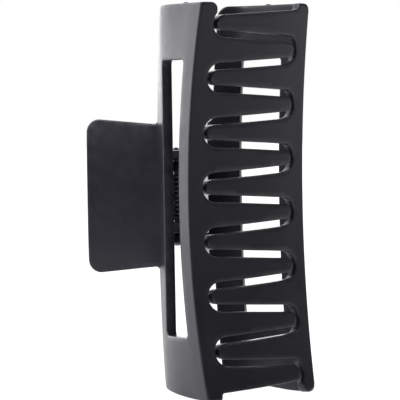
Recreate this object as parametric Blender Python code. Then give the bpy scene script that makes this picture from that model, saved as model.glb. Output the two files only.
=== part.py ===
"""Rectangular claw hair clip, closed and standing on one end. Metres, +Z up.

Z runs along the clip, X from jaw to jaw, and +Y points from the teeth to the handles.
The left jaw is the right jaw turned half way round about Y, so that the teeth interleave, but the
handles and hinge ears of both jaws stand at the same heights.
"""

import math

import bmesh
import bpy
import numpy as np

MM = 0.001

# jaws, in millimetres
LENGTH = 110.0
# points of a jaw's outer line, (x, y) at mid length and at the ends, joined by a parabola in z
RAIL_TOP = ((10.9, 26.7), (11.5, 23.9))
WINDOW_TOP = ((14.8, 19.3), (16.3, 17.35))
WINDOW_FOOT = ((20.4, 6.6), (19.6, 1.7))
BEND = ((21.65, 0.74), (20.4, -4.66))
GAP_ROOT = ((17.05, 0.0), (15.55, -5.5))
WALL = 2.8
PLATE = 2.6
PLATE_CROWN = 92.0  # radius of the tooth face across the jaws
BEND_RADIUS = 0.9
BEND_END_RADIUS = 4.0  # of the right jaw only, at its very ends
BEND_END_LENGTH = 2.2  # over which the bend's radius grows to that
INNER_BEND_RADIUS = 1.0
RAIL_CORNERS = (5.0, 2.9)  # at the bottom and at the top
WINDOW_HALF_LENGTH = 38.65
WINDOW_RISES = (0.7, 1.4)  # how far the left and right windows' middles lie above mid length
WINDOW_CORNER = 1.4
WINDOW_TILT_DEG = 4.4
WINDOW_REACH = (3.0, 6.0)  # of the cutter, outwards and inwards from the wall's outer line

# teeth
TEETH = 7
PITCH = 15.2
FIRST_TOOTH_Z = 13.2
TOOTH_HALF_WIDTH = 2.83  # where a tooth crosses the centre plane
TOOTH_TAPER = 0.056  # half width gained per millimetre towards its own root
TIP_GAP = 1.15
END_CORNER = 2.3
COMB_DEPTH = (-12.0, 3.6)  # heights between which the gaps are cut

# handles
HANDLE_FOOT = (11.0, 26.2)  # the outer face's lower edge
HANDLE_LEAN_DEG = 36.0
HANDLE_LENGTH = 21.2
HANDLE_THICKNESS = 2.6
HANDLE_HALF_FOOT = 20.2
HANDLE_HALF_TIP = 22.25
HANDLE_RISE = 1.3
HANDLE_CORNER = 3.6
HANDLE_FILLET = 1.5
HANDLE_FOLD = 1.68  # how far the inner face's lower edge lies below the outer face's

# hinge
HINGE_Y = 31.3
HINGE_RISE = 0.6
KNUCKLE_RADIUS = 2.4
KNUCKLE_WIDTH = 2.8
KNUCKLE_STARTS = (7.3, -13.4)  # of the right jaw, from the hinge's middle
KNUCKLE_FEET = ((12.2, 31.4), (9.6, 24.2))  # inside the handle, and inside the rail
PIN_RADIUS = 1.0
PIN_GAP = 0.3
PIN_LENGTH = 28.5
PIN_BEVEL = 0.3
BORE_HALF_LENGTH = 20.0

# spring
WIRE_RADIUS = 0.6
COIL_RADIUS = 2.0
COIL_PITCH = 1.33
HALF_COIL_TURNS = 5  # whole turns on each side of the middle, less what the leg takes up
LEG_LENGTH = 11.5
FACE_GAP = 0.3

MID = LENGTH / 2
# x and y are counted from the middle of the tooth face, and every object's origin is the middle
# of the hinge's axis; the part's own origin is under the middle of its outline
HINGE = np.array([0, HINGE_Y, MID])
OUTLINE_MIDDLE_Y = 19.286


def material(name, colour, metallic, roughness):
    mat = bpy.data.materials.new(name)
    mat.use_nodes = True
    bsdf = mat.node_tree.nodes["Principled BSDF"]
    bsdf.inputs["Base Color"].default_value = (*colour, 1)
    bsdf.inputs["Metallic"].default_value = metallic
    bsdf.inputs["Roughness"].default_value = roughness
    return mat


def half_turn(points):
    """Turn points half way round about the line through mid length along Y."""
    x, y, z = np.asarray(points).T
    return np.stack([-x, y, LENGTH - z], axis=1)


def place(name, data, parent=None):
    """An object whose origin is the middle of the hinge's axis."""
    obj = bpy.data.objects.new(name, data)
    bpy.context.scene.collection.objects.link(obj)
    if parent:
        obj.parent = parent
    else:
        obj.location = (0, (HINGE_Y - OUTLINE_MIDDLE_Y) * MM, MID * MM)
    return obj


def loft(name, sections, mat, parent=None):
    """A solid through rings with equal numbers of points, in millimetres."""
    bm = bmesh.new()
    rings = [[bm.verts.new((p - HINGE) * MM) for p in section] for section in sections]
    for low, high in zip(rings, rings[1:]):
        for i in range(len(low)):
            bm.faces.new((low[i - 1], low[i], high[i], high[i - 1]))
    bm.faces.new(rings[0])
    bm.faces.new(rings[-1])
    bmesh.ops.recalc_face_normals(bm, faces=bm.faces)
    mesh = bpy.data.meshes.new(name)
    bm.to_mesh(mesh)
    bm.free()
    mesh.materials.append(mat)
    return place(name, mesh, parent)


def boolean(obj, other, operation):
    other.hide_render = True
    other.display_type = "WIRE"
    mod = obj.modifiers.new(other.name, "BOOLEAN")
    mod.solver = "EXACT"
    mod.operation = operation
    mod.object = other


def round_off(obj, angle_deg):
    obj.data.shade_smooth()
    obj.data.set_sharp_from_angle(angle=math.radians(angle_deg))


def arc(centre, radius, start_deg, end_deg, count):
    a = np.radians(np.linspace(start_deg, end_deg, count))
    return centre + radius * np.stack([np.cos(a), np.sin(a)], axis=1)


def ring(radius, z, count=24):
    """A level circle round the hinge's axis."""
    circle = arc((0, HINGE_Y), radius, 0, 360 - 360 / count, count)
    return np.column_stack([circle, np.full(count, z)])


def at(pair, z):
    """A point of the jaw's outer line at height z."""
    mid, end = np.array(pair)
    return mid + (end - mid) * ((z - MID) / MID) ** 2


def corner_inset(distance, radius):
    """How far a rounded corner has cut in, at a distance from the end."""
    d = np.clip(radius - distance, 0, radius)
    return radius - math.sqrt(radius * radius - d * d)


def hermite(p, q, dp, dq, count):
    s = np.linspace(0, 1, count + 1)[:, None]
    size = np.linalg.norm(q - p)
    return (
        (2 * s**3 - 3 * s**2 + 1) * p
        + (s**3 - 2 * s**2 + s) * dp * size
        + (3 * s**2 - 2 * s**3) * q
        + (s**3 - s**2) * dq * size
    )


def unit(v):
    return v / np.linalg.norm(v)


def tooth_face(x, z):
    """Height of the tooth face, which is crowned across the jaws."""
    root = at(GAP_ROOT, z)
    return root[1] + (x * x - root[0] ** 2) / (2 * PLATE_CROWN)


def fillet(before, corner, after, radius, count):
    """An arc that rounds a corner between two straight runs."""
    back, on = unit(before - corner), unit(after - corner)
    half = math.acos(back @ on) / 2
    centre = corner + unit(back + on) * radius / math.sin(half)
    ends = [corner + way * radius / math.tan(half) - centre for way in (back, on)]
    angles = [math.atan2(e[1], e[0]) for e in ends]
    sweep = (angles[1] - angles[0] + math.pi) % (2 * math.pi) - math.pi
    a = angles[0] + sweep * np.linspace(0, 1, count)
    return centre + radius * np.stack([np.cos(a), np.sin(a)], axis=1)


def jaw_section(z, turned):
    """The right jaw's closed outline at height z: wall, bend and the plate that carries the teeth."""
    bottom, top_end = (LENGTH - z, z) if turned else (z, LENGTH - z)
    top, high, foot, corner = (at(p, z) for p in (RAIL_TOP, WINDOW_TOP, WINDOW_FOOT, BEND))
    first, down, last = unit(high - top), unit(foot - high), unit(corner - foot)
    inset = max(corner_inset(bottom, RAIL_CORNERS[0]), corner_inset(top_end, RAIL_CORNERS[1]))
    top = top + first * inset
    upper = hermite(top, high, first, unit(first + down), 3)
    lower = hermite(high, foot, unit(first + down), unit(down + last), 4)[1:]
    outer = np.vstack([upper, lower])

    root = at(GAP_ROOT, z)[0]
    across = np.linspace(root, -root, 7)
    face = np.array([(x, tooth_face(x, z)) for x in across])
    end_share = corner_inset(min(z, LENGTH - z), BEND_END_LENGTH) / BEND_END_LENGTH
    radius = BEND_RADIUS
    if not turned:
        radius += (BEND_END_RADIUS - BEND_RADIUS) * end_share
    bend = fillet(foot, corner, face[0], radius, 5)

    # the wall's inner line, and a small fillet where it meets the plate
    tangents = np.gradient(outer, axis=0)
    tangents /= np.linalg.norm(tangents, axis=1)[:, None]
    inner = outer + WALL * np.stack([tangents[:, 1], -tangents[:, 0]], axis=1)
    back = face[::-1] + (0, PLATE)
    meet = inner[-1] + last * (inner[-1][1] - tooth_face(root + 1, z) - PLATE) / -last[1]
    turn = fillet(back[-1], meet, inner[-1], INNER_BEND_RADIUS, 3)
    outline = np.vstack([outer, bend, face, back, turn, inner[::-1]])
    return np.column_stack([outline, np.full(len(outline), z)])


def jaw_heights():
    ends = [0.0, 0.25, 0.8, 1.5, 2.2, *RAIL_CORNERS[::-1]]
    return [*ends, *np.linspace(8, LENGTH - 8, 19), *(LENGTH - e for e in ends[::-1])]


def free_edge():
    """The right jaw's toothed edge in plan, (x, z) from one end to the other."""
    half = PITCH / 2
    edge = []
    for k in range(TEETH):
        tooth = FIRST_TOOTH_Z + k * PITCH
        root = at(GAP_ROOT, tooth - half)[0]
        radius = (half - TOOTH_HALF_WIDTH - TOOTH_TAPER * root) / (1 - TOOTH_TAPER)
        start = -90 if k else -40
        edge.append(arc((root - radius, tooth - half), radius, start, 90, 7))
        tip = at(GAP_ROOT, tooth)[0] - TIP_GAP
        radius = (TOOTH_HALF_WIDTH - TOOTH_TAPER * tip) / (1 - TOOTH_TAPER)
        edge.append(arc((radius - tip, tooth), radius, 270, 90, 7))
    # the end without a tooth has a rounded lobe beside the other jaw's end tooth
    lobe = arc((edge[0][0][0] + END_CORNER, END_CORNER), END_CORNER, 270, 180, 5)
    # the last tooth's outer side meets the other end in a small fillet
    root = at(GAP_ROOT, LENGTH)[0]
    side = tooth + TOOTH_HALF_WIDTH + TOOTH_TAPER * root
    last = [(root - 1.6, side), (root - 0.6, side + 0.45), (root - 0.2, LENGTH + 1)]
    return np.vstack([(lobe[0][0], -1), lobe, *edge, last])


def comb_cutter(body, mat):
    """Everything beyond the toothed edge, over the plate's depth only."""
    edge = np.vstack([free_edge(), [(-30, LENGTH + 1), (-30, -1)]])
    x, z = edge.T
    sections = [np.stack([x, np.full(len(x), y), z], axis=1) for y in COMB_DEPTH]
    return loft(f"{body.name}_comb", sections, mat, body)


def window_cutter(body, mat, middle):
    tilt = math.radians(WINDOW_TILT_DEG)
    outwards, inwards = (np.array([math.cos(tilt), math.sin(tilt)]) * r for r in WINDOW_REACH)
    steps = np.array([0, 0.25, 0.7, 1]) * WINDOW_CORNER
    near = -WINDOW_HALF_LENGTH + steps
    offsets = [*near, *np.linspace(-32, 32, 9), *-near[::-1]]
    sections = []
    for offset in offsets:
        z = middle + offset
        high, foot = at(WINDOW_TOP, z), at(WINDOW_FOOT, z)
        inset = corner_inset(WINDOW_HALF_LENGTH - abs(offset), WINDOW_CORNER)
        down = unit(foot - high)
        high, foot = high + down * inset, foot - down * inset
        corners = [high + outwards, foot + outwards, foot - inwards, high - inwards]
        sections.append(np.array([(*c, z) for c in corners]))
    return loft(f"{body.name}_window", sections, mat, body)


def handle_frame():
    """The handle's foot, the way it leans and the way through it, at mid length."""
    lean = math.radians(HANDLE_LEAN_DEG)
    way = np.array([math.sin(lean), math.cos(lean)])
    return np.array(HANDLE_FOOT), way, np.array([-way[1], way[0]])


def handle_slab(body, mat, middle):
    """The thumb handle, from inside the rail to its tip. Its outer face is one plane."""
    foot, way, through = handle_frame()
    rounds = np.array([1, 0.62, 0.3, 0.1, 0])
    steps = [*rounds[::-1] * HANDLE_FILLET, 6, 11, *HANDLE_LENGTH - rounds * HANDLE_CORNER]
    sections = []
    for k, s in enumerate(steps):
        half = HANDLE_HALF_FOOT + (HANDLE_HALF_TIP - HANDLE_HALF_FOOT) * s / HANDLE_LENGTH
        half += corner_inset(s, HANDLE_FILLET) - corner_inset(HANDLE_LENGTH - s, HANDLE_CORNER)
        outer = foot + way * s
        inner = outer + through * HANDLE_THICKNESS - way * (HANDLE_FOLD if k == 0 else 0)
        sections.append((outer, inner, half))
    # the first section lies inside the rail, so that the two solids join
    sections.insert(0, (foot + (1.0, -3.6), foot + (-1.5, -2.2), sections[0][2]))
    rings = [
        np.array([(*o, middle - h), (*o, middle + h), (*i, middle + h), (*i, middle - h)])
        for o, i, h in sections
    ]
    return loft(f"{body.name}_handle", rings, mat, body)


def knuckle(body, mat, low):
    """One hinge ear: a round eye on the axis and an arm that ends inside the rail and handle."""
    feet = np.array(KNUCKLE_FEET) - (0, HINGE_Y)
    reach = np.degrees(np.arccos(KNUCKLE_RADIUS / np.linalg.norm(feet, axis=1)))
    bearing = np.degrees(np.arctan2(feet[:, 1], feet[:, 0]))
    sweep = (bearing[0] + reach[0], bearing[1] - reach[1] + 360)
    eye = arc((0, 0), KNUCKLE_RADIUS, *sweep, 15)
    outline = np.vstack([eye, feet[::-1]]) + (0, HINGE_Y)
    sections = [
        np.column_stack([outline, np.full(len(outline), z)])
        for z in (low, low + KNUCKLE_WIDTH)
    ]
    return loft(f"{body.name}_knuckle", sections, mat, body)


def pin_bore(body, mat):
    ends = (MID - BORE_HALF_LENGTH, MID + BORE_HALF_LENGTH)
    sections = [ring(PIN_RADIUS + PIN_GAP, z) for z in ends]
    return loft(f"{body.name}_bore", sections, mat, body)


def jaw(name, mat, turned):
    """A jaw, built as the right one. The left one is turned, so its heights are counted down."""
    up = -1 if turned else 1
    body = loft(name, [jaw_section(z, turned) for z in jaw_heights()], mat)
    boolean(body, comb_cutter(body, mat), "DIFFERENCE")
    boolean(body, window_cutter(body, mat, MID + up * WINDOW_RISES[up > 0]), "DIFFERENCE")
    boolean(body, handle_slab(body, mat, MID + up * HANDLE_RISE), "UNION")
    for start in KNUCKLE_STARTS:
        boolean(body, knuckle(body, mat, MID + up * HINGE_RISE + start), "UNION")
    boolean(body, pin_bore(body, mat), "DIFFERENCE")
    body.rotation_euler = (0, math.pi if turned else 0, 0)
    round_off(body, 30)


def hinge_pin(mat):
    half = PIN_LENGTH / 2
    heights = [(-half, PIN_RADIUS - PIN_BEVEL), (PIN_BEVEL - half, PIN_RADIUS)]
    heights += [(half - PIN_BEVEL, PIN_RADIUS), (half, PIN_RADIUS - PIN_BEVEL)]
    middle = MID + HINGE_RISE
    round_off(loft("hinge_pin", [ring(r, middle + z) for z, r in heights], mat), 30)


def torsion_spring(mat):
    """A close coil round the pin, with one leg under each handle."""
    foot, way, through = handle_frame()
    inner_face = foot + through * HANDLE_THICKNESS - (0, HINGE_Y)
    room = inner_face @ -through - WIRE_RADIUS - FACE_GAP
    rise = math.asin(room / math.hypot(COIL_RADIUS, LEG_LENGTH))
    rise -= math.atan2(COIL_RADIUS, LEG_LENGTH)
    leg = math.atan2(way[1], way[0]) - rise

    # the right leg leaves the top of the coil, and the left leg is the same turned half way round
    half = 2 * math.pi * HALF_COIL_TURNS + leg - math.pi
    turn = np.linspace(-half, half, round(half / math.pi * 20))
    around = turn + math.pi / 2
    x, y = COIL_RADIUS * np.cos(around), HINGE_Y + COIL_RADIUS * np.sin(around)
    coil = np.stack([x, y, MID + turn / (2 * math.pi) * COIL_PITCH], axis=1)
    ahead = np.array([math.cos(leg), math.sin(leg), 0])
    legs = [coil[-1] + ahead * s for s in (0.8, LEG_LENGTH)]
    path = np.vstack([half_turn(legs)[::-1], coil, legs]) + (0, 0, HINGE_RISE)

    curve = bpy.data.curves.new("torsion_spring", "CURVE")
    curve.dimensions = "3D"
    curve.bevel_depth = WIRE_RADIUS * MM
    curve.bevel_resolution = 2
    curve.use_fill_caps = True
    curve.materials.append(mat)
    spline = curve.splines.new("POLY")
    spline.points.add(len(path) - 1)
    for knot, point in zip(spline.points, (path - HINGE) * MM):
        knot.co = (*point, 1)
    place("torsion_spring", curve)


def main():
    for obj in list(bpy.data.objects):
        bpy.data.objects.remove(obj)
    for name, turned in (("left_jaw", True), ("right_jaw", False)):
        jaw(name, material(name + "_plastic", (0.02, 0.021, 0.024), 0, 0.5), turned)
    hinge_pin(material("pin_steel", (0.62, 0.62, 0.63), 1, 0.3))
    torsion_spring(material("spring_steel", (0.55, 0.55, 0.56), 1, 0.35))


main()
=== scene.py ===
"""Looks of the rectangular claw hair clip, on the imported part.

A jaw is built as a sheet over a flat domain (s, z): s runs down its profile from the handle's tip
over the fold, the wall and the bend to the tooth tips, and z along the clip. Design lengths are in
millimetres, with x and y counted from the middle of the tooth face. Each jaw is built as the right
one, and the left one is then turned half way round.
"""

import math

import bmesh
import bpy
import numpy as np
from mathutils import Matrix, Vector
from mathutils.geometry import delaunay_2d_cdt


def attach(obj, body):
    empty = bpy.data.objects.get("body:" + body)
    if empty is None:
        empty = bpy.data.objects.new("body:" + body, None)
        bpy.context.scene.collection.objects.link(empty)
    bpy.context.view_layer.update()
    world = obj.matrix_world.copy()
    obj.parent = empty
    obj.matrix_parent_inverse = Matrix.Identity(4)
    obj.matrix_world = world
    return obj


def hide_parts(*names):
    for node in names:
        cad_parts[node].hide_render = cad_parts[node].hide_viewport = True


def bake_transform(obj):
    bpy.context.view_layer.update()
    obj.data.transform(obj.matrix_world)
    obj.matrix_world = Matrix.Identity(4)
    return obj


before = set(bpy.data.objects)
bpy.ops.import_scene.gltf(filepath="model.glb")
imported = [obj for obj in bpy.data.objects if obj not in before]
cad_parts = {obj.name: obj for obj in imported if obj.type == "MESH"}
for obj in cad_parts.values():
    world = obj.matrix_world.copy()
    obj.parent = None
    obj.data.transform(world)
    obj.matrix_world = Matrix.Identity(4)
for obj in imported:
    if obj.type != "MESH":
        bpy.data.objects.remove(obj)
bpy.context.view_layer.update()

MM = 0.001

# the jaw's profile, as in the CAD: (x, y) at mid length and at the ends
LENGTH = 110.0
MID = LENGTH / 2
OUTLINE_MIDDLE_Y = 19.286
RAIL_TOP = ((10.9, 26.7), (11.5, 23.9))
WINDOW_TOP = ((14.8, 19.3), (16.3, 17.35))
WINDOW_FOOT = ((20.4, 6.6), (19.6, 1.7))
BEND = ((21.65, 0.74), (20.4, -4.66))
GAP_ROOT = ((17.05, 0.0), (15.55, -5.5))
WALL = 2.8
PLATE = 2.6
PLATE_CROWN = 92.0
WINDOW_HALF_LENGTH = 38.65
WINDOW_RISES = (0.7, 1.4)  # how far the left and right windows' middles lie above mid length
WINDOW_CORNER = 1.4

# teeth
TEETH = 7
PITCH = 15.2
FIRST_TOOTH_Z = 13.2
TOOTH_HALF_WIDTH = 2.83
TOOTH_TAPER = 0.056
TIP_GAP = 1.15
END_CORNER = 2.3
ROOT_SWEEP = 86  # degrees of arc to each side of a gap's root
FIRST_ROOT_SWEEP = 40  # of the first gap, on its side towards the end
INNER_CORNER = 0.9  # between the last tooth and the plate's end
OUTER_CORNER = 0.7
OUTER_REACH = 0.75

# handle
HANDLE_FOOT = np.array([11.0, 26.2])
HANDLE_LEAN = math.radians(36)
WAY = np.array([math.sin(HANDLE_LEAN), math.cos(HANDLE_LEAN)])  # from foot to tip
THROUGH = np.array([-WAY[1], WAY[0]])  # from the outer face to the inner one
HANDLE_LENGTH = 21.2
HANDLE_THICKNESS = 2.6
HANDLE_HALF_FOOT = 20.2
HANDLE_HALF_TIP = 22.25
HANDLE_RISE = 1.3
HANDLE_CORNER = 3.6
HANDLE_FILLET = 1.5
TIP_CROWN, SIDE_CROWN = 0.6, 0.8  # how far the outer face falls away at the tip and the sides
TIP_CROWN_START, SIDE_CROWN_START = 8.0, 7.0
TIP_CROWN_REACH, SIDE_CROWN_REACH = 12.0, 14.0

# hinge
HINGE_Y = 31.3
HINGE_RISE = 0.6
KNUCKLE_RADIUS = 2.4
KNUCKLE_WIDTH = 2.8
KNUCKLE_STARTS = (7.3, -13.4)
KNUCKLE_FEET = ((12.2, 31.4), (9.6, 24.2))
PIN_RADIUS = 1.0
BORE_RADIUS = 1.3
EAR_EDGE = 0.35
BORE_HALF_LENGTH = 20.0
PIN_LENGTH = 28.5
PIN_ROUNDING = 0.45
WIRE_RADIUS = 0.6
COIL_RADIUS = 2.0
COIL_PITCH = 1.33
HALF_COIL_TURNS = 5
LEG_LENGTH = 11.5
FACE_GAP = 0.3  # between a leg and the handle that it presses on

# where the profile's corners lie along s, and how far to each side they are rounded
S_HIGH, S_FOOT, S_BEND, S_FLAT = 8.3, 22.5, 28.3, 32.3
S_END = 68.0  # beyond the longest tooth
ROOT_MARGIN = 0.3
FOLD_REACH = 5.0  # over which the fold's inner side catches up with its outer one
FOLD_BLEND = (-3.0, -0.5)  # over which the rail's plain end takes over beside the handle
FOLD_ROUNDING = 0.1
BEND_ROUNDING = 0.8
BEND_END_ROUNDING = 4.7  # of the right jaw only, at its very ends
BEND_END_LENGTH = 2.2  # over which the rounding grows to that
INNER_BEND_ROUNDING = 2.4
SQUEEZE_START = S_FOOT + 0.6  # from where the inner line is drawn together to meet the plate
RAIL_CORNERS = (3.5, 2.9)  # radii at the bottom and at the top
# how far the wall's bottom and top ends are cut back on their way to the rail, and over which s
BOTTOM_CUT, TOP_CUT = (2.6, -4, 26), (3.0, -3, 9)  # the top only on the left jaw
CUT_LENGTHS = (3, 12)  # from the end, over which a cut fades out
# how far the window's inner edges lie from its outer ones, up and down the wall
HIGH_DRAFT, FOOT_DRAFT = 0.35, -1.15
DRAFT_REACH = 5.0
GATE_PLACES = (19.5, 15.5)  # s of the left and right jaws' gate marks, on their top ends
GATE_RADIUS = 0.75
GATE_HEIGHT = 0.25
EDGE = 0.38  # radius of the edges
HANDLE_EDGE = 0.45
HANDLE_EDGE_BLEND = (-5.0, -1.5)  # s over which the one gives way to the other

# mesh
Z_STEPS = 101
LEAST_STEP = 0.12  # along a straight run of an edge
EDGE_STEPS = 4
DELAUNAY_EPSILON = 1e-6
SLIVER = 1e-5
SHARP_ANGLE = math.radians(38)

# light from the room in front and from the sweep behind, and where along Y they change over
FRONT_LIGHT, BACK_LIGHT = 0.05, 3.8
FRONT_EDGE, BACK_EDGE = 0.08, 0.95

# the photograph's view in degrees and metres, and its lens in millimetres
AZIMUTH, ELEVATION, ROLL = -42, 1.56, -0.96
DISTANCE = 0.858
FOCAL_LENGTH, SENSOR_WIDTH = 275.4, 36
FACE_RIGHT, FACE_UP = 0.01374, 0.00012  # how far the tooth face lies off the picture's middle


def unit(v):
    return v / np.linalg.norm(v, axis=-1, keepdims=True)


def cross(a, b):
    return a[..., 0] * b[..., 1] - a[..., 1] * b[..., 0]


def smoothstep(x, start, end):
    t = np.clip((x - start) / (end - start), 0, 1)
    return t * t * (3 - 2 * t)


def at(pair, z):
    """A corner of the profile, which moves with the square of the height above mid length."""
    mid, end = np.array(pair)
    return mid + (end - mid) * (((z - MID) / MID) ** 2)[:, None]


def hermite(p, q, dp, dq, t):
    """A cubic from p to q with the directions dp and dq at its ends."""
    size = np.linalg.norm(q - p, axis=1, keepdims=True)
    t = t[:, None]
    return (
        (2 * t**3 - 3 * t**2 + 1) * p
        + (t**3 - 2 * t**2 + t) * dp * size
        + (3 * t**2 - 2 * t**3) * q
        + (t**3 - t**2) * dq * size
    )


def wall_line(s, z):
    """The wall's outer line, which runs straight on beyond both its ends."""
    top, high, foot, corner = (at(p, z) for p in (RAIL_TOP, WINDOW_TOP, WINDOW_FOOT, BEND))
    first, down, last = unit(high - top), unit(foot - high), unit(corner - foot)
    upper = hermite(top, high, first, unit(first + down), np.clip(s / S_HIGH, 0, 1))
    upper += first * np.minimum(s, 0)[:, None]
    share = np.clip((s - S_HIGH) / (S_FOOT - S_HIGH), 0, 1)
    middle = hermite(high, foot, unit(first + down), unit(down + last), share)
    share = np.clip((s - S_FOOT) / (S_BEND - S_FOOT), 0, 1)
    lower = hermite(foot, corner, unit(down + last), last, share)
    lower += last * np.maximum(s - S_BEND, 0)[:, None]
    return np.where((s < S_HIGH)[:, None], upper, np.where((s < S_FOOT)[:, None], middle, lower))


def inner_wall_line(s, z):
    step = 0.05
    tangent = unit(wall_line(s + step, z) - wall_line(s - step, z))
    return wall_line(s, z) + WALL * np.stack([tangent[:, 1], -tangent[:, 0]], axis=1)


def tooth_face(x, z):
    """Height of the tooth face, which is crowned across the jaws and meets the bend's corner."""
    root, bend = at(GAP_ROOT, z), at(BEND, z)
    crown = root[:, 1] + (x * x - root[:, 0] ** 2) / (2 * PLATE_CROWN)
    bend_crown = root[:, 1] + (bend[:, 0] ** 2 - root[:, 0] ** 2) / (2 * PLATE_CROWN)
    beyond = np.clip((x - root[:, 0]) / (bend[:, 0] - root[:, 0]), 0, 1)
    return crown + (bend[:, 1] - bend_crown) * beyond


def flat_x(z):
    """Where s begins to count x on the plate, just outside the roots of the gaps."""
    return at(GAP_ROOT, z)[:, 0] + ROOT_MARGIN


def plate_line(s, z, start_x, lift):
    """The plate's outer face, or with a lift its inner one, from the bend at start_x inwards."""
    share = np.clip((s - S_BEND) / (S_FLAT - S_BEND), 0, 1)
    x = start_x + (flat_x(z) - start_x) * share - np.maximum(s - S_FLAT, 0)
    return np.stack([x, tooth_face(x, z) + lift], axis=1)


def fold_corner(z):
    """Where the wall's outer line meets the handle's face, and how far below the rail's top."""
    top = at(RAIL_TOP, z)
    first = unit(at(WINDOW_TOP, z) - top)
    drop = ((HANDLE_FOOT - top) @ THROUGH) / (first @ THROUGH)
    return top + first * drop[:, None], drop, first


def handle_line(s, corner):
    """The handle's outer face, from the fold's corner at s 0 to the tip."""
    tip = HANDLE_FOOT + WAY * HANDLE_LENGTH
    return corner + (tip - corner) * (-s / HANDLE_LENGTH)[:, None]


def folded_share(s, z, up):
    """1 where the wall turns into the handle, and 0 where it ends in a plain rail."""
    off = np.abs(z - MID - up * HANDLE_RISE)
    beside = smoothstep(off, HANDLE_HALF_FOOT - 0.3, HANDLE_HALF_FOOT + HANDLE_FILLET)
    return (1 - beside * smoothstep(s, *FOLD_BLEND))[:, None]


def outer_line(s, z, up):
    """The jaw's outer side, with sharp corners."""
    corner, drop, _ = fold_corner(z)
    below = np.where(s < S_HIGH, drop + s * (S_HIGH - drop) / S_HIGH, s)
    folded = np.where((s < 0)[:, None], handle_line(s, corner), wall_line(below, z))
    share = folded_share(s, z, up)
    wall = share * folded + (1 - share) * wall_line(s, z)
    plate = plate_line(s, z, at(BEND, z)[:, 0], 0)
    return np.where((s < S_BEND)[:, None], wall, plate)


def inner_bend():
    """How far along s, and at what x, the wall's inner line meets the plate, from end to end."""
    z = np.linspace(0, LENGTH, 111)
    reach = np.full(len(z), S_BEND - WALL)
    step = 0.1
    for _ in range(5):
        points = (inner_wall_line(reach, z), inner_wall_line(reach + step, z))
        miss, next_miss = (p[:, 1] - tooth_face(p[:, 0], z) - PLATE for p in points)
        reach = reach - step * miss / (next_miss - miss)
    return z, reach, inner_wall_line(reach, z)[:, 0]


INNER_BEND = inner_bend()


def inner_line(s, z, up):
    """The jaw's inner side, with sharp corners."""
    corner, drop, first = fold_corner(z)
    normal = np.stack([first[:, 1], -first[:, 0]], axis=1)
    # the fold's inner corner, along the handle and along the wall
    offset = normal * WALL - THROUGH * HANDLE_THICKNESS
    base = cross(WAY, -first)
    climb, drift = cross(offset, -first) / base, cross(WAY, offset) / base
    near = np.clip(1 - np.abs(s) / FOLD_REACH, 0, 1)
    handle = handle_line(s - climb * near, corner) + THROUGH * HANDLE_THICKNESS
    below = np.where(s < S_HIGH, drop + s * (S_HIGH - drop) / S_HIGH, s)

    reach, start_x = (np.interp(z, INNER_BEND[0], column) for column in INNER_BEND[1:])
    squeeze = np.clip((s - SQUEEZE_START) / (S_BEND - SQUEEZE_START), 0, None)
    shift = squeeze * (reach - S_BEND)
    for edge, draft in ((S_HIGH, HIGH_DRAFT), (S_FOOT, FOOT_DRAFT)):
        shift = shift + draft * (1 - smoothstep(np.abs(s - edge), 0, DRAFT_REACH))

    folded = np.where((s < 0)[:, None], handle, inner_wall_line(below + drift * near + shift, z))
    share = folded_share(s, z, up)
    wall = share * folded + (1 - share) * inner_wall_line(s + shift, z)
    plate = plate_line(s, z, start_x, PLATE)
    return np.where((s < S_BEND)[:, None], wall, plate)


def rounded(line, s, z, up, bend_rounding, taps=16):
    """A line averaged along s, which rounds its corners."""
    reach = FOLD_ROUNDING + (bend_rounding - FOLD_ROUNDING) * smoothstep(s, S_HIGH, S_FOOT)
    shifts = (np.arange(taps) + 0.5) / taps * 2 - 1
    return sum(line(s + reach * shift, z, up) for shift in shifts) / taps


def handle_crown(s, z, up):
    """How far the handle's outer face falls away towards its tip and its sides."""
    off = np.abs(z - MID - up * HANDLE_RISE)
    tipward = np.clip((-s - TIP_CROWN_START) / TIP_CROWN_REACH, 0, 1)
    sideways = np.clip((off - SIDE_CROWN_START) / SIDE_CROWN_REACH, 0, 1)
    return TIP_CROWN * tipward**2 + SIDE_CROWN * sideways**2 * smoothstep(-s, 0, TIP_CROWN_START)


def sheet_point(s, z, up, depth):
    """Points of the jaw, at a share of its thickness from the outer face."""
    near_end = 1 - np.minimum(np.minimum(z, LENGTH - z) / BEND_END_LENGTH, 1)
    growth = (up > 0) * (1 - np.sqrt(1 - near_end**2))
    bend_rounding = BEND_ROUNDING + (BEND_END_ROUNDING - BEND_ROUNDING) * growth
    outer = rounded(outer_line, s, z, up, bend_rounding)
    inner = rounded(inner_line, s, z, up, INNER_BEND_ROUNDING)
    outer += THROUGH * handle_crown(s, z, up)[:, None]
    xy = outer + (inner - outer) * np.asarray(depth)[:, None]
    return np.column_stack([xy[:, 0], xy[:, 1] - OUTLINE_MIDDLE_Y, z]) * MM


def arc(centre, radius, start_deg, end_deg, count):
    a = np.radians(np.linspace(start_deg, end_deg, count))
    return centre + radius * np.stack([np.cos(a), np.sin(a)], axis=1)


def s_steps():
    """Values of s for the mesh, close together at the fold and the bend."""
    runs = [
        (-HANDLE_LENGTH, -2, 1.2),
        (-2, 2, 0.22),
        (2, S_BEND - 2.8, 1.2),
        (S_BEND - 2.8, S_BEND - 1, 0.4),
        (S_BEND - 1, S_BEND + 1, 0.18),
        (S_BEND + 1, S_BEND + 2.7, 0.4),
        (S_BEND + 2.7, S_END, 1.1),
    ]
    return np.concatenate([np.linspace(start, end, round((end - start) / step), endpoint=False)
                           for start, end, step in runs])


def z_steps():
    return np.linspace(0, LENGTH, Z_STEPS)


def root_x(z):
    return at(GAP_ROOT, np.array([z]))[0, 0]


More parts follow.
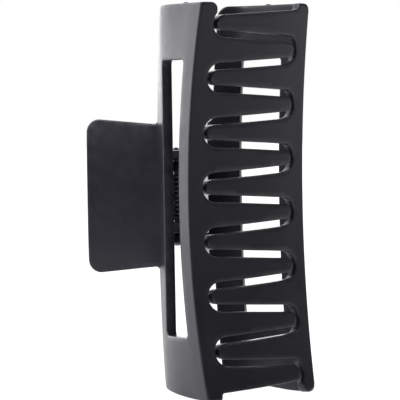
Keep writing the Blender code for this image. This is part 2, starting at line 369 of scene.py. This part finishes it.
def free_edge():
    """The toothed edge as (x, z), from the end at z 0 to the other."""
    half = PITCH / 2
    edge = []
    for k in range(TEETH):
        tooth = FIRST_TOOTH_Z + k * PITCH
        root = root_x(tooth - half)
        radius = (half - TOOTH_HALF_WIDTH - TOOTH_TAPER * root) / (1 - TOOTH_TAPER)
        start = -ROOT_SWEEP if k else -FIRST_ROOT_SWEEP
        edge.append(arc((root - radius, tooth - half), radius, start, ROOT_SWEEP, 15))
        tip = root_x(tooth) - TIP_GAP
        radius = (TOOTH_HALF_WIDTH - TOOTH_TAPER * tip) / (1 - TOOTH_TAPER)
        edge.append(arc((radius - tip, tooth), radius, 180 + ROOT_SWEEP, 180 - ROOT_SWEEP, 15))
    lobe = arc((edge[0][0][0] + END_CORNER, END_CORNER), END_CORNER, 268, 182, 8)
    root = root_x(LENGTH)
    side = tooth + TOOTH_HALF_WIDTH + TOOTH_TAPER * root
    inner = arc((root - INNER_CORNER, side + INNER_CORNER), INNER_CORNER, 275, 345, 6)
    outer = arc((root + OUTER_REACH, LENGTH - OUTER_CORNER), OUTER_CORNER, 165, 95, 5)
    return np.vstack([lobe, *edge, inner, outer])


def densify(points):
    """Adds points along the long straight runs of a loop, at the mesh's own steps."""
    out = []
    for p, q in zip(points, np.roll(points, -1, axis=0)):
        out.append(p[None])
        along = 0 if abs(q[0] - p[0]) > abs(q[1] - p[1]) else 1
        marks = s_steps() if along == 0 else z_steps()
        low, high = sorted((p[along], q[along]))
        marks = marks[(marks > low + LEAST_STEP) & (marks < high - LEAST_STEP)]
        if q[along] < p[along]:
            marks = marks[::-1]
        share = (marks - p[along]) / (q[along] - p[along]) if q[along] != p[along] else marks
        out.append(p + (q - p) * share[:, None])
    return np.vstack(out)


def handle_half(s):
    """Half the handle's length along the clip."""
    return HANDLE_HALF_FOOT + (HANDLE_HALF_TIP - HANDLE_HALF_FOOT) * -s / HANDLE_LENGTH


def handle_side():
    """The handle's edge from the rail to the tip, on one side of its middle."""
    root_s, corner_s = -HANDLE_FILLET, HANDLE_CORNER - HANDLE_LENGTH
    root = arc((root_s, handle_half(root_s) + HANDLE_FILLET), HANDLE_FILLET, 0, -90, 7)
    corner = arc((corner_s, handle_half(corner_s) - HANDLE_CORNER), HANDLE_CORNER, 86, 180, 11)
    return np.vstack([root, corner])


def outline(up):
    """The jaw's edge in (s, z)."""
    x, z = free_edge().T
    comb = np.stack([S_FLAT + flat_x(z) - x, z], axis=1)
    handle = handle_side()
    low, high = RAIL_CORNERS[::up]
    rails = [arc((r, MID - r), r, 90, 180, 10) for r in (high, low)]
    middle = np.array([0, MID + up * HANDLE_RISE])
    flip = (1, -1)
    upper = np.vstack([rails[0] + (0, MID), handle + middle])
    lower = np.vstack([rails[1] * flip + (0, MID), handle * flip + middle])
    loop = densify(np.vstack([comb, upper, lower[::-1]]))
    s, z = loop.T.copy()
    cuts = (BOTTOM_CUT,) if up > 0 else (BOTTOM_CUT, TOP_CUT)
    for end, (cut, start, stop) in zip((0, LENGTH)[::up], cuts):
        near = 1 - smoothstep(np.abs(z - end), *CUT_LENGTHS)
        loop[:, 1] += math.copysign(cut, MID - end) * near * (1 - smoothstep(s, start, stop))
    return loop


def window(up):
    """The edge of the wall's window in (s, z)."""
    low, high = S_HIGH, S_FOOT
    loop = []
    for s, way_z, start in ((high, 1, 0), (low, 1, 90), (low, -1, 180), (high, -1, 270)):
        s_in = s + (WINDOW_CORNER if s == low else -WINDOW_CORNER)
        z_in = MID + up * WINDOW_RISES[up > 0] + way_z * (WINDOW_HALF_LENGTH - WINDOW_CORNER)
        loop.append(arc((s_in, z_in), WINDOW_CORNER, start, start + 90, 8))
    return densify(np.vstack(loop))


def inward(loop, hole):
    """Directions that lead from a loop's points into the sheet, long enough to keep offsets even."""
    back, on = loop - np.roll(loop, 1, axis=0), np.roll(loop, -1, axis=0) - loop
    normals = [np.stack([-d[:, 1], d[:, 0]], axis=1) for d in (unit(back), unit(on))]
    mean = unit(normals[0] + normals[1])
    mean /= np.sum(mean * normals[0], axis=1)[:, None]
    area = np.sum(cross(loop, np.roll(loop, -1, axis=0)))
    return mean * (1 if (area > 0) != hole else -1)


def edge_radius(s):
    """The edges are rounder round the handle."""
    return EDGE + (HANDLE_EDGE - EDGE) * (1 - smoothstep(s, *HANDLE_EDGE_BLEND))


def inside(points, loop):
    """Whether points lie inside a loop, and how far they are from its line."""
    x, y = points[:, 0][:, None], points[:, 1][:, None]
    a, b = loop[None], np.roll(loop, -1, axis=0)[None]
    spans = (a[..., 1] > y) != (b[..., 1] > y)
    rise = np.where(b[..., 1] == a[..., 1], 1e-9, b[..., 1] - a[..., 1])
    hits = spans & (x < a[..., 0] + (y - a[..., 1]) / rise * (b[..., 0] - a[..., 0]))
    d = b - a
    t = ((x - a[..., 0]) * d[..., 0] + (y - a[..., 1]) * d[..., 1]) / np.sum(d * d, axis=2)
    t = np.clip(t, 0, 1)
    gap = np.hypot(x - a[..., 0] - t * d[..., 0], y - a[..., 1] - t * d[..., 1])
    return hits.sum(1) % 2 == 1, gap.min(1)


def jaw_faces(insets):
    """Points and faces that fill the flat domain, with the insets' own points first."""
    s, z = (g.ravel() for g in np.meshgrid(s_steps(), z_steps()))
    grid = np.stack([s, z], axis=1)
    in_outline, gap = inside(grid, insets[0])
    in_window, window_gap = inside(grid, insets[1])
    # grid points keep clear of the edges, less so where they lie close together
    room = np.where((np.abs(s) < 2.2) | (np.abs(s - S_BEND) < 1.1), 0.3, 0.55)
    grid = grid[in_outline & ~in_window & (gap > room) & (window_gap > room)]
    points = np.vstack([*insets, grid])

    edges, start = [], 0
    for loop in insets:
        end = start + len(loop)
        edges += [(i, i + 1 if i + 1 < end else start) for i in range(start, end)]
        start = end
    made = delaunay_2d_cdt([Vector(p) for p in points], edges, [], 2, DELAUNAY_EPSILON, True)
    faces, sources = made[2:4]
    faces = [[sources[i][0] for i in face] for face in faces]
    middles = np.array([points[face].mean(axis=0) for face in faces])
    kept = inside(middles, insets[0])[0] & ~inside(middles, insets[1])[0]
    corners = [points[[face[k] for face in faces]] for k in range(3)]
    kept &= np.abs(cross(corners[1] - corners[0], corners[2] - corners[0])) > SLIVER
    return points, [face for face, keep in zip(faces, kept) if keep]


def rounded_edge_layers(radius):
    """How far inside the loop, and at what share of the thickness, a rounded edge's rings lie."""
    angles = np.radians(np.linspace(0, 90, EDGE_STEPS + 1))[1:]
    layers = [(radius * (1 - math.sin(a)), radius * (1 - math.cos(a)) / WALL) for a in angles]
    return layers + [(inset, 1 - depth) for inset, depth in layers[::-1]]


def jaw_sheet(up):
    """A jaw without its hinge ears, as a bmesh with a rim attribute along its edges."""
    rims = []
    for loop, hole in ((outline(up), False), (window(up), True)):
        rims.append((loop, inward(loop, hole), edge_radius(loop[:, 0])))
    points, faces = jaw_faces([loop + way * radius[:, None] for loop, way, radius in rims])
    edge_count = sum(len(loop) for loop, _, _ in rims)

    bm = bmesh.new()
    rim = bm.verts.layers.float.new("rim")

    def add(flat, depth, amounts):
        made = []
        for place, amount in zip(sheet_point(flat[:, 0], flat[:, 1], up, depth), amounts):
            vert = bm.verts.new(place)
            vert[rim] = amount
            made.append(vert)
        return made

    amounts = np.where(np.arange(len(points)) < edge_count, 1.0, 0.0)
    sides = [add(points, np.full(len(points), depth), amounts) for depth in (0, 1)]
    for side, turn in zip(sides, (1, -1)):
        for face in faces:
            bm.faces.new([side[i] for i in face][::turn])
    start = 0
    for loop, way, radius in rims:
        stop = start + len(loop)
        rings = [sides[0][start:stop]]
        for inset, depth in rounded_edge_layers(radius):
            rings.append(add(loop + way * inset[:, None], depth, np.ones(len(loop))))
        rings.append(sides[1][start:stop])
        join_rings(bm, rings)
        start = stop
    bmesh.ops.recalc_face_normals(bm, faces=bm.faces)
    return bm


def join_rings(bm, rings):
    for low, high in zip(rings, rings[1:]):
        for i in range(len(low)):
            bm.faces.new((low[i - 1], low[i], high[i], high[i - 1]))


def mesh_object(name, bm):
    mesh = bpy.data.meshes.new(name)
    bm.to_mesh(mesh)
    bm.free()
    obj = bpy.data.objects.new(name, mesh)
    bpy.context.scene.collection.objects.link(obj)
    return obj


def loft(name, sections):
    """A closed solid through sections of as many points each."""
    bm = bmesh.new()
    rings = [[bm.verts.new((p - (0, OUTLINE_MIDDLE_Y, 0)) * MM) for p in section]
             for section in sections]
    join_rings(bm, rings)
    bm.faces.new(rings[0])
    bm.faces.new(rings[-1])
    bmesh.ops.recalc_face_normals(bm, faces=bm.faces)
    return mesh_object(name, bm)


def level(points, z):
    """Points of a cross section, placed at one height."""
    return np.column_stack([points, np.full(len(points), z)])


def hinge_ear(low):
    """A round eye on the hinge's axis and an arm that ends inside the rail and the handle."""
    feet = np.array(KNUCKLE_FEET) - (0, HINGE_Y)
    reach = np.degrees(np.arccos(KNUCKLE_RADIUS / np.linalg.norm(feet, axis=1)))
    bearing = np.degrees(np.arctan2(feet[:, 1], feet[:, 0]))
    eye = arc((0, 0), KNUCKLE_RADIUS, bearing[0] + reach[0], bearing[1] - reach[1] + 360, 36)
    loop = np.vstack([eye, feet[::-1]]) + (0, HINGE_Y)
    way = inward(loop, False)
    # (inset, height) of the rings round a rounded edge, as shares of its radius
    sections = [(inset * EAR_EDGE, rise * EAR_EDGE) for inset, rise in ((1, 0), (0.29, 0.29), (0, 1))]
    sections += [(inset, KNUCKLE_WIDTH - rise) for inset, rise in sections[::-1]]
    return loft("ear", [level(loop + way * inset, low + rise) for inset, rise in sections])


def gate_mark(up):
    """The small round stub left where the plastic was let into the mould."""
    top = np.array([LENGTH if up > 0 else 0.0])
    s = np.array([GATE_PLACES[up > 0]])
    middle = (outer_line(s, top, up) + inner_line(s, top, up)) / 2
    # (height, share of the radius), from inside the plastic to the stub's bevelled top
    rings = ((-1.5, 1), (GATE_HEIGHT - 0.12, 1), (GATE_HEIGHT, 0.8))
    return loft("gate", [level(arc(middle, GATE_RADIUS * share, 0, 345, 24), top[0] + up * rise)
                         for rise, share in rings])


def ring(radius, z, count=48):
    """A circle round the hinge's axis."""
    return level(arc((0, HINGE_Y), radius, 0, 360 - 360 / count, count), z)


def boolean(obj, other, operation):
    mod = obj.modifiers.new(other.name, "BOOLEAN")
    mod.solver = "MANIFOLD"
    mod.operation = operation
    mod.object = other


def final_mesh(obj):
    """The object's mesh with its modifiers or its bevel applied. The object itself goes."""
    graph = bpy.context.evaluated_depsgraph_get()
    mesh = bpy.data.meshes.new_from_object(obj.evaluated_get(graph), depsgraph=graph)
    bpy.data.objects.remove(obj)
    mesh.shade_smooth()
    return mesh


def jaw_mesh(up):
    """A jaw, built as the right one. up is 1 if heights count upwards, -1 if it will be turned."""
    body = mesh_object("jaw", jaw_sheet(up))
    ears = [hinge_ear(MID + up * HINGE_RISE + start) for start in KNUCKLE_STARTS]
    bore = loft("bore", [ring(BORE_RADIUS, MID + z) for z in (-BORE_HALF_LENGTH, BORE_HALF_LENGTH)])
    additions = [*ears, gate_mark(up)]
    for other in additions:
        boolean(body, other, "UNION")
    boolean(body, bore, "DIFFERENCE")
    mesh = final_mesh(body)
    for helper in (*additions, bore):
        bpy.data.objects.remove(helper)
    mesh.set_sharp_from_angle(angle=SHARP_ANGLE)
    return mesh


class Nodes:
    """Short calls for building the node tree of a material or of the world."""

    def __init__(self, owner, shader="Principled BSDF"):
        owner.use_nodes = True
        self.owner = owner
        self.tree = owner.node_tree
        self.shader = self.tree.nodes[shader]

    def plug(self, socket, value):
        """Links a socket to another one, or sets it to a plain value."""
        if isinstance(value, bpy.types.NodeSocket):
            self.tree.links.new(value, socket)
        else:
            socket.default_value = value

    def node(self, kind, inputs=None, **settings):
        made = self.tree.nodes.new(kind)
        for key, value in settings.items():
            setattr(made, key, value)
        for key, value in (inputs or {}).items():
            self.plug(made.inputs[key], value)
        return made

    def noise(self, where, scale, detail=3.0, roughness=0.5):
        inputs = {"Vector": where, "Scale": scale, "Detail": detail, "Roughness": roughness}
        return self.node("ShaderNodeTexNoise", inputs).outputs["Fac"]

    def spread(self, value, low, high, to_low, to_high):
        inputs = {"Value": value, "From Min": low, "From Max": high,
                  "To Min": to_low, "To Max": to_high}
        return self.node("ShaderNodeMapRange", inputs).outputs["Result"]

    def math(self, operation, a, b):
        return self.node("ShaderNodeMath", {0: a, 1: b}, operation=operation).outputs[0]

    def mix(self, share, a, b):
        node = self.node("ShaderNodeMix", data_type="RGBA")
        for name, value in (("Factor_Float", share), ("A_Color", a), ("B_Color", b)):
            self.plug(next(i for i in node.inputs if i.identifier == name), value)
        return next(o for o in node.outputs if o.identifier == "Result_Color")

    def bump(self, height, strength, distance, before=None):
        inputs = {"Height": height, "Strength": strength, "Distance": distance}
        if before:
            inputs["Normal"] = before
        return self.node("ShaderNodeBump", inputs).outputs["Normal"]

    def set(self, **inputs):
        for key, value in inputs.items():
            self.plug(self.shader.inputs[key.replace("_", " ")], value)


def material_nodes(name):
    return Nodes(bpy.data.materials.new(name))


def plastic():
    """Matte black moulded plastic with a fine grain, faint smudges and slightly worn edges."""
    m = material_nodes("matte_black_plastic")
    where = m.node("ShaderNodeTexCoord").outputs["Object"]
    rim = m.node("ShaderNodeAttribute", attribute_name="rim").outputs["Fac"]
    grain = m.noise(where, 3200, 2)
    mottle = m.noise(where, 420, 4)
    smudge = m.noise(where, 45, 5, 0.6)
    wear = m.math("MULTIPLY", rim, m.spread(m.noise(where, 260, 5, 0.7), 0.45, 0.7, 0, 1))
    rough = m.spread(smudge, 0.3, 0.7, 0.34, 0.41)
    rough = m.math("ADD", rough, m.spread(mottle, 0.3, 0.7, -0.03, 0.03))
    rough = m.math("SUBTRACT", rough, m.math("MULTIPLY", wear, 0.1))
    black, soft_black = (0.0055, 0.0058, 0.0095, 1), (0.0075, 0.0079, 0.0125, 1)
    rubbed = (0.04, 0.04, 0.043, 1)
    dark = m.mix(m.spread(smudge, 0.35, 0.65, 0, 1), black, soft_black)
    colour = m.mix(m.math("MULTIPLY", wear, 0.5), dark, rubbed)
    normal = m.bump(mottle, 0.12, 0.00006)
    normal = m.bump(grain, 0.22, 0.00002, normal)
    m.set(Base_Color=colour, Roughness=rough, Normal=normal, IOR=1.43)
    m.set(Specular_Tint=(0.93, 0.93, 1.0, 1))
    return m.owner


def steel(name, tint, smoothest, roughest, stretches):
    """Steel with fine streaks and a few dull patches."""
    m = material_nodes(name)
    where = m.node("ShaderNodeTexCoord").outputs["Object"]
    stretched = m.node("ShaderNodeMapping", {"Vector": where, "Scale": stretches}).outputs["Vector"]
    streaks = m.noise(stretched, 900, 4, 0.6)
    patches = m.noise(where, 160, 4)
    rough = m.spread(streaks, 0.3, 0.7, smoothest, roughest)
    rough = m.math("ADD", rough, m.spread(patches, 0.4, 0.7, 0, 0.12))
    dull = tuple(c * 0.62 for c in tint)
    colour = m.mix(m.spread(patches, 0.35, 0.75, 0, 1), (*tint, 1), (*dull, 1))
    normal = m.bump(streaks, 0.2, 0.00003)
    m.set(Base_Color=colour, Roughness=rough, Normal=normal, Metallic=1.0)
    return m.owner


def finish_piece(name, mesh, body, material, *nodes):
    obj = bpy.data.objects.new(name, mesh)
    bpy.context.scene.collection.objects.link(obj)
    mesh.materials.clear()
    mesh.materials.append(material)
    if body:
        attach(obj, body)
    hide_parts(*nodes)
    return obj


def build_jaws():
    black = plastic()
    finish_piece("right_jaw_moulding", jaw_mesh(1), "right", black, "right_jaw")
    left = jaw_mesh(-1)
    left.transform(Matrix.Translation((0, 0, LENGTH * MM)) @ Matrix.Rotation(math.pi, 4, "Y"))
    finish_piece("left_jaw_moulding", left, "left", black, "left_jaw")


def build_pin():
    half = PIN_LENGTH / 2
    top = [(PIN_RADIUS * math.sin(a), half - PIN_ROUNDING * (1 - math.cos(a)))
           for a in np.radians((12, 35, 60, 80, 90))]
    profile = [(radius, -z) for radius, z in top] + top[::-1]
    pin = loft("pin", [ring(radius, MID + HINGE_RISE + z) for radius, z in profile])
    material = steel("pin_steel", (0.3, 0.3, 0.31), 0.22, 0.32, (1, 1, 0.06))
    finish_piece("hinge_pin_rod", final_mesh(pin), "left", material, "hinge_pin")


def half_turn(points):
    x, y, z = np.asarray(points).T
    return np.stack([-x, y, LENGTH - z], axis=1)


def leg_bearing():
    """The bearing of the leg that presses on the inner face of the right jaw's handle."""
    inner_face = HANDLE_FOOT + THROUGH * HANDLE_THICKNESS - (0, HINGE_Y)
    room = inner_face @ -THROUGH - WIRE_RADIUS - FACE_GAP
    rise = math.asin(room / math.hypot(COIL_RADIUS, LEG_LENGTH))
    rise -= math.atan2(COIL_RADIUS, LEG_LENGTH)
    return math.atan2(WAY[1], WAY[0]) - rise


def wire(path):
    """A round wire along a path, as a mesh."""
    curve = bpy.data.curves.new("spring", "CURVE")
    curve.dimensions = "3D"
    curve.bevel_depth = WIRE_RADIUS * MM
    curve.bevel_resolution = 4
    curve.use_fill_caps = True
    spline = curve.splines.new("POLY")
    spline.points.add(len(path) - 1)
    for knot, point in zip(spline.points, path * MM):
        knot.co = (*point, 1)
    obj = bpy.data.objects.new("spring", curve)
    bpy.context.scene.collection.objects.link(obj)
    return final_mesh(obj)


def build_spring():
    leg = leg_bearing()
    half = 2 * math.pi * HALF_COIL_TURNS + leg - math.pi
    turn = np.linspace(-half, half, round(half / math.pi * 36))
    around = turn + math.pi / 2
    x, y = COIL_RADIUS * np.cos(around), HINGE_Y + COIL_RADIUS * np.sin(around)
    coil = np.stack([x, y, MID + turn / (2 * math.pi) * COIL_PITCH], axis=1)
    ahead = np.array([math.cos(leg), math.sin(leg), 0])
    legs = [coil[-1] + ahead * reach for reach in np.linspace(0.6, LEG_LENGTH, 12)]
    path = np.vstack([half_turn(legs)[::-1], coil, legs])
    path += (0, -OUTLINE_MIDDLE_Y, HINGE_RISE)

    material = steel("spring_steel", (0.13, 0.13, 0.137), 0.26, 0.4, (1, 1, 1))
    piece = finish_piece("torsion_spring_wire", wire(path), None, material, "torsion_spring")
    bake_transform(piece)


def floor():
    m = material_nodes("floor_paper")
    where = m.node("ShaderNodeTexCoord").outputs["Object"]
    m.set(Base_Color=(0.25, 0.25, 0.25, 1), Roughness=0.9, Specular_IOR_Level=0.1)
    m.set(Emission_Color=(1.0, 1.0, 1.0, 1), Emission_Strength=0.92)
    m.set(Normal=m.bump(m.noise(where, 300), 0.02, 0.0005))
    # it ends a little way to the left and in front, so that the clip mirrors only some of it
    left, front, far = -0.3, -0.6, 6
    bm = bmesh.new()
    corners = ((left, front, 0), (far, front, 0), (far, far, 0), (left, far, 0))
    bm.faces.new([bm.verts.new(p) for p in corners])
    obj = mesh_object("floor", bm)
    obj.data.materials.append(m.owner)


def softbox(name, place, size, power):
    """A square lamp that faces the clip's middle."""
    data = bpy.data.lights.new(name, "AREA")
    data.size = size
    data.energy = power
    light = bpy.data.objects.new(name, data)
    bpy.context.scene.collection.objects.link(light)
    light.location = place
    light.rotation_mode = "QUATERNION"
    light.rotation_quaternion = (Vector(place) - Vector((0, 0, MID * MM))).to_track_quat("Z", "Y")


def light_studio():
    """A dim room in front, a bright white sweep behind, and plain white where the camera looks."""
    bpy.context.scene.world = bpy.data.worlds.new("studio")
    w = Nodes(bpy.context.scene.world, "Background")
    way = w.node("ShaderNodeTexCoord").outputs["Generated"]
    y = w.node("ShaderNodeSeparateXYZ", {"Vector": way}).outputs["Y"]
    edges = {"From Min": FRONT_EDGE, "From Max": BACK_EDGE, "To Min": FRONT_LIGHT, "To Max": BACK_LIGHT}
    behind = w.node("ShaderNodeMapRange", {"Value": y, **edges}, interpolation_type="SMOOTHSTEP")
    seen = w.node("ShaderNodeLightPath").outputs["Is Camera Ray"]
    white = 1.0
    strength = w.node("ShaderNodeMix", {0: seen, 2: behind.outputs[0], 3: white}, data_type="FLOAT")
    w.set(Strength=strength.outputs[0], Color=(1, 1, 1, 1))
    bpy.context.scene.view_settings.view_transform = "Standard"
    softbox("left_softbox", (-0.28, 0.02, 0.27), 0.14, 1.1)
    softbox("right_softbox", (0.24, -0.27, 0.27), 0.2, 0.3)


def camera():
    """The photograph's view: 42 degrees off the tooth face and a little from above."""
    azimuth, elevation, roll = (math.radians(a) for a in (AZIMUTH, ELEVATION, ROLL))
    back = Vector((math.sin(azimuth) * math.cos(elevation),
                   -math.cos(azimuth) * math.cos(elevation), math.sin(elevation)))
    level_right = Vector((math.cos(azimuth), math.sin(azimuth), 0))
    level_up = back.cross(level_right)
    right = level_right * math.cos(roll) + level_up * math.sin(roll)
    up = level_up * math.cos(roll) - level_right * math.sin(roll)
    data = bpy.data.cameras.new("camera")
    data.lens = FOCAL_LENGTH
    data.sensor_width = SENSOR_WIDTH
    data.clip_start, data.clip_end = 0.01, 20
    cam = bpy.data.objects.new("camera", data)
    bpy.context.scene.collection.objects.link(cam)
    face = Vector((0, -OUTLINE_MIDDLE_Y * MM, MID * MM))
    cam.location = face + back * DISTANCE
    ahead = (face - right * FACE_RIGHT - up * FACE_UP - cam.location).normalized()
    across = (right - ahead * right.dot(ahead)).normalized()
    axes = Matrix((across, across.cross(ahead), -ahead)).transposed()
    cam.rotation_mode = "QUATERNION"
    cam.rotation_quaternion = axes.to_quaternion()
    bpy.context.scene.camera = cam


build_jaws()
build_pin()
build_spring()
floor()
light_studio()
camera()
